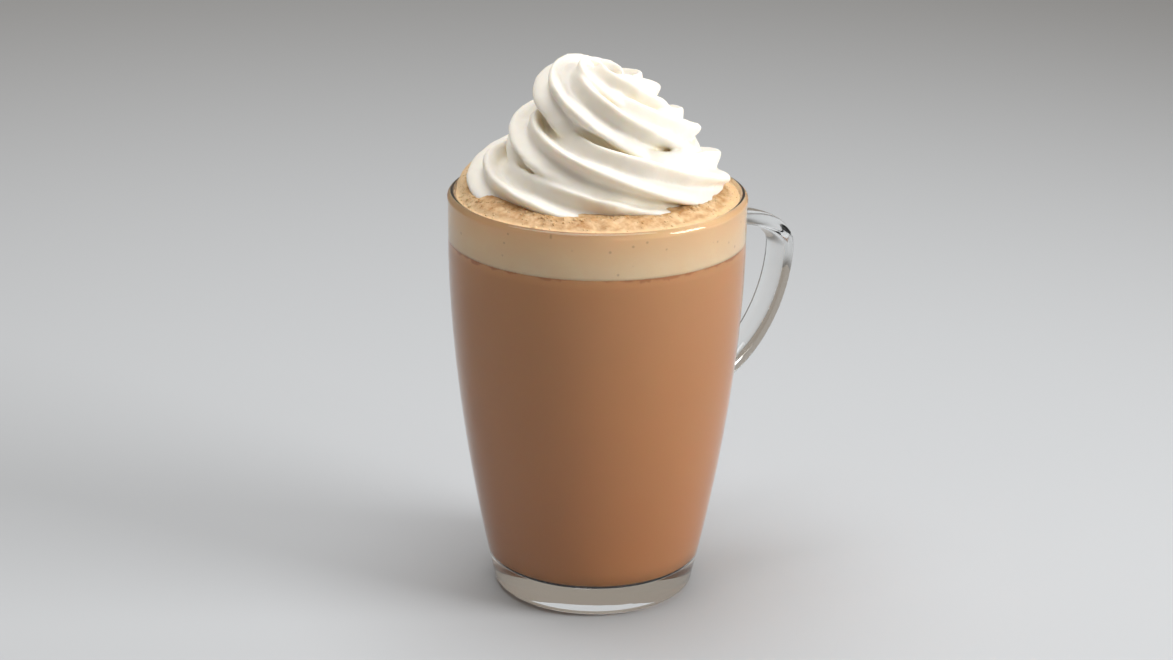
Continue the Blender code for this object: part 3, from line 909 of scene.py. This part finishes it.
def cream_material(cloudy):
    """Satin whipped cream with painted shade: warmer deep in its folds and warm brown in its deepest pockets.
    """
    material, tree, shader = start_material("whipped_cream_satin")
    fold = add_node(tree, "ShaderNodeAttribute", attribute_name="fold")
    tone = use_group(tree, cloudy, Scale=90.0, Contrast=1.2)
    plain = mixed(tree, tone.outputs["Tone"], CREAM_DULL, CREAM_BRIGHT)
    # painted shade: closed-in places take the fold colour, and the most closed-in ones the pocket colour
    fold_shade_share = ranged(tree, fold.outputs["Fac"], 0.25, 0.70)
    with_fold_shade = mixed(tree, fold_shade_share, plain, CREAM_SHADE_IN_FOLDS)
    pocket_shade_share = ranged(tree, fold.outputs["Fac"], 0.72, 0.92)
    colour = mixed(tree, pocket_shade_share, with_fold_shade, CREAM_SHADE_IN_POCKETS)
    tree.links.new(colour, shader.inputs["Base Color"])
    grain = use_group(tree, cloudy, Scale=900.0, Contrast=1.0)
    roughness = ranged(tree, grain.outputs["Tone"], 0.2, 0.8, 0.38, 0.5)
    tree.links.new(roughness, shader.inputs["Roughness"])
    relief = grain.outputs["Tone"]
    bump = add_node(tree, "ShaderNodeBump", {"Strength": 0.2, "Distance": 0.0002, "Height": relief})
    tree.links.new(bump.outputs["Normal"], shader.inputs["Normal"])
    shader.inputs["Specular IOR Level"].default_value = 0.35
    shader.inputs["Subsurface Weight"].default_value = 0.6
    shader.inputs["Subsurface Radius"].default_value = (1.0, 0.8, 0.55)
    shader.inputs["Subsurface Scale"].default_value = 0.003
    return material


def plain_material(name, colour, roughness):
    """A plain surface for the floor."""
    material, _, shader = start_material(name)
    shader.inputs["Base Color"].default_value = (*colour, 1.0)
    shader.inputs["Roughness"].default_value = roughness
    shader.inputs["Specular IOR Level"].default_value = 0.1
    return material


# Froth bubbles


def cream_edge(cream):
    """How far the cream reaches from the mug's axis at the froth, for each of a circle's sectors."""
    reach = [0.0] * BUBBLE_SECTORS
    for vertex in cream.data.vertices:
        place = vertex.co
        radius = math.hypot(place.x, place.y)
        angle = math.atan2(place.y, place.x)
        if abs(place.z - froth_level(radius, angle)) < NEAR_FROTH:
            sector = int(angle / math.tau * BUBBLE_SECTORS) % BUBBLE_SECTORS
            reach[sector] = max(reach[sector], radius)
    return reach


def make_bubbles(cream, foam_tree):
    """Larger bubbles that stand out of the froth, thickest along the cream and the glass."""
    chance = random.Random(BUBBLE_SEED)
    reach = cream_edge(cream)
    edge = inner_radius(FROTH_EDGE)
    form = bmesh.new()
    made = 0
    while made < BUBBLE_COUNT:
        angle = chance.uniform(0.0, math.tau)
        near = reach[int(angle / math.tau * len(reach)) % len(reach)]
        if near <= 0.0 or edge - near < NARROW_FROTH:
            near = edge - FROTH_STRIP
        if chance.random() < BUBBLES_AT_CREAM:
            radius = near + abs(chance.gauss(0.0, BUBBLE_SPREAD))
        else:
            radius = chance.uniform(near, edge)
        size = chance.uniform(BUBBLE_SMALL, BUBBLE_LARGE) * (1.0 + BUBBLE_BIGGEST * chance.random() ** 6)
        if radius > edge - size:
            continue
        x = radius * math.cos(angle)
        y = radius * math.sin(angle)
        hit = foam_tree.ray_cast(Vector((x, y, ABOVE_FROTH)), Vector((0.0, 0.0, -1.0)))
        if hit[0] is None:
            continue
        place = hit[0] - Vector((0.0, 0.0, size * chance.uniform(*BUBBLE_SUNK)))
        bmesh.ops.create_icosphere(form, subdivisions=2, radius=size, matrix=Matrix.Translation(place))
        made += 1
    return form_to_piece("froth_bubbles", form)


# Picture


def seen(x, y, z):
    """A place given as the viewer's right, away and up, in the frame of the solids."""
    return Matrix.Rotation(VIEW_TURN, 3, "Z") @ Vector((x, y, z))


def add_camera():
    """The camera where the photo was taken from."""
    cos_pitch = math.cos(CAMERA_PITCH)
    ahead = seen(math.sin(CAMERA_YAW) * cos_pitch, math.cos(CAMERA_YAW) * cos_pitch, -math.sin(CAMERA_PITCH))
    right = ahead.cross(Vector((0.0, 0.0, 1.0))).normalized()
    up = right.cross(ahead)
    rolled_right = right * math.cos(CAMERA_ROLL) + up * math.sin(CAMERA_ROLL)
    rolled_up = up * math.cos(CAMERA_ROLL) - right * math.sin(CAMERA_ROLL)
    data = bpy.data.cameras.new("camera")
    data.sensor_width = SENSOR_WIDTH
    data.lens = FOCAL_PIXELS * SENSOR_WIDTH / PHOTO_WIDTH
    data.clip_start = 0.01
    camera = bpy.data.objects.new("camera", data)
    bpy.context.collection.objects.link(camera)
    turn = Matrix((rolled_right, rolled_up, -ahead)).transposed().to_4x4()
    camera.matrix_world = Matrix.Translation(seen(*CAMERA_PLACE)) @ turn
    bpy.context.scene.camera = camera


def add_softbox(name, place, width, height, power, colour=(1.0, 1.0, 1.0), spread=math.pi):
    """A rectangular soft light. A small spread keeps it off the floor beside it, as a honeycomb grid does."""
    data = bpy.data.lights.new(name, "AREA")
    data.shape = "RECTANGLE"
    data.size = width
    data.size_y = height
    data.energy = power
    data.color = colour
    data.spread = spread
    lamp = bpy.data.objects.new(name, data)
    bpy.context.collection.objects.link(lamp)
    lamp.location = seen(*place)
    lamp.rotation_euler = (seen(*LIT_PLACE) - lamp.location).to_track_quat("-Z", "Y").to_euler()


def add_studio():
    """Pale floor, pale surroundings and soft lights, the strongest from the viewer's right."""
    deselect()
    middle = (0.0, 0.0, FLOOR_LEVEL)
    bpy.ops.mesh.primitive_circle_add(vertices=96, radius=FLOOR_RADIUS, fill_type="NGON", location=middle)
    floor = bpy.context.object
    floor.name = "floor"
    floor.data.materials.append(plain_material("pale_floor", FLOOR_COLOUR, FLOOR_ROUGHNESS))
    world = bpy.data.worlds.new("studio")
    world.use_nodes = True
    sky = world.node_tree.nodes["Background"]
    sky.inputs["Color"].default_value = SURROUNDINGS
    sky.inputs["Strength"].default_value = SURROUNDINGS_STRENGTH
    bpy.context.scene.world = world
    add_softbox("key_right", (1.12, -0.35, 0.46), 0.6, 0.6, 4.4, KEY_COLOUR, KEY_SPREAD)
    add_softbox("top_back", (-0.05, 0.10, 0.95), 0.7, 0.7, 6.5)
    add_softbox("fill_left", (-0.8, -0.6, 0.5), 0.6, 0.6, 0.7, FILL_COLOUR)
    bpy.context.scene.view_settings.view_transform = "Standard"


# The whole drink

cloudy = slow_tone_group()
bubbles = bubble_group()
foam_finish = foam_material(cloudy, bubbles)

mug = make_mug()
mocha = make_mocha()
foam = make_foam()
cream = make_cream()
foam_tree = BVHTree.FromPolygons(
    [vertex.co for vertex in foam.data.vertices], [face.vertices for face in foam.data.polygons]
)
froth_bubbles = make_bubbles(cream, foam_tree)

PIECES = (
    # piece, finish, slot, node that it replaces
    (mug, glass_material(cloudy), "clear_glass", "mug"),
    (mocha, mocha_material(cloudy), "mocha", "mocha"),
    (foam, foam_finish, "milk_foam", "milk_foam"),
    (cream, cream_material(cloudy), "whipped_cream", "whipped_cream"),
    (froth_bubbles, foam_finish, "milk_foam", None),
)
for piece, finish, slot_name, node_name in PIECES:
    piece.data.materials.clear()
    piece.data.materials.append(finish)
    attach(piece, "root")
    if node_name:
        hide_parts(node_name)

add_studio()
add_camera()
